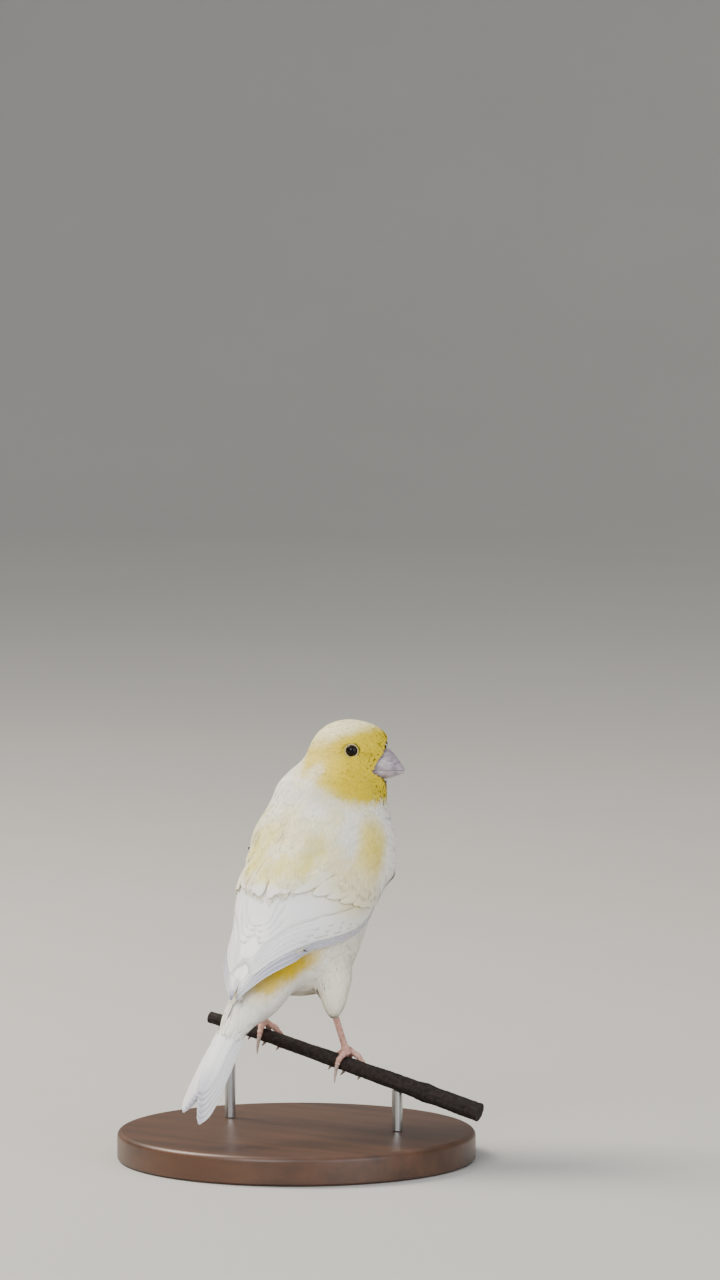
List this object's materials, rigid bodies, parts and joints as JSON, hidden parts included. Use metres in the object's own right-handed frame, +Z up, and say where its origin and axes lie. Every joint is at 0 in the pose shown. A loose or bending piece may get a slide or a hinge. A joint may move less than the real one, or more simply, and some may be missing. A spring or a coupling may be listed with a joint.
{
  "type": "perched canary figure",
  "caption": "Life-size yellow and white canary that grips a short cut perch, looking over its shoulder, on a round display stand.",
  "frame": {"origin": "centre of the display stand's underside", "axes": "+Z up, square to the stand's underside; the bird's body heads towards -Y with its right side towards -X"},
  "size_m": [0.101, 0.1, 0.121],
  "materials": {
    "plumage_yellow": "soft matt feathers",
    "plumage_white": "soft matt feathers",
    "bill_horn": "satin horn",
    "eye_dark": "wet gloss",
    "leg_skin": "satin scaled skin",
    "claw_horn": "satin horn",
    "bark": "rough dark bark",
    "stand_wood": "satin dark wood",
    "stand_steel": "brushed"
  },
  "bodies": {
    "root": {"head": "plumage_yellow", "neck": "plumage_yellow", "torso": "plumage_white", "wing_right": "plumage_white", "wing_left": "plumage_white", "tail": "plumage_white", "thigh_right": "plumage_white", "thigh_left": "plumage_white", "shank_right": "leg_skin", "shank_left": "leg_skin", "foot_right": "leg_skin", "foot_left": "leg_skin", "claw_inner_right": "claw_horn", "claw_middle_right": "claw_horn", "claw_outer_right": "claw_horn", "claw_hind_right": "claw_horn", "claw_inner_left": "claw_horn", "claw_middle_left": "claw_horn", "claw_outer_left": "claw_horn", "claw_hind_left": "claw_horn", "bill_upper": "bill_horn", "bill_lower": "bill_horn", "eye_right": "eye_dark", "eye_left": "eye_dark", "perch": "bark", "stand_base": "stand_wood", "stand_rod_1": "stand_steel", "stand_rod_2": "stand_steel"}
  },
  "joints": []
}
